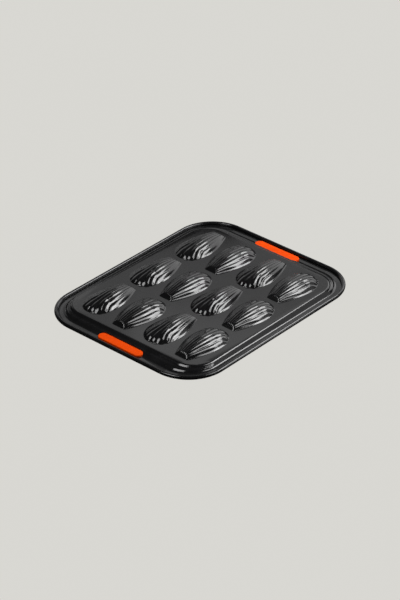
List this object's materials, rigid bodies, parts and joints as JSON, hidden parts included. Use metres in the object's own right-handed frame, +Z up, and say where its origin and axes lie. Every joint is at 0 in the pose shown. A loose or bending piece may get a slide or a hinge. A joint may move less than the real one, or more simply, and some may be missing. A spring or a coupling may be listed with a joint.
{
  "type": "madeleine pan",
  "caption": "Non-stick madeleine pan lying bottom up: ribbed shell-shaped cups in a stepped sheet with a rolled rim and a silicone grip let into each short side.",
  "frame": {"origin": "on the surface the pan lies on, below the middle of the pan", "axes": "+X along the pan's long side, +Y along its short side, +Z up, out of the shells' backs; the cups open towards -Z"},
  "size_m": [0.37, 0.296, 0.0198],
  "materials": {
    "coated_sheet": "semi-gloss non-stick coating",
    "wire": "plain drawn wire",
    "silicone": "satin silicone"
  },
  "bodies": {
    "root": {"rim_frame": "coated_sheet", "rim_wire": "wire", "grip_left": "silicone", "grip_right": "silicone", "cup_a1": "coated_sheet", "cup_a2": "coated_sheet", "cup_a3": "coated_sheet", "cup_b1": "coated_sheet", "cup_b2": "coated_sheet", "cup_b3": "coated_sheet", "cup_c1": "coated_sheet", "cup_c2": "coated_sheet", "cup_c3": "coated_sheet", "cup_d1": "coated_sheet", "cup_d2": "coated_sheet", "cup_d3": "coated_sheet"}
  },
  "joints": []
}
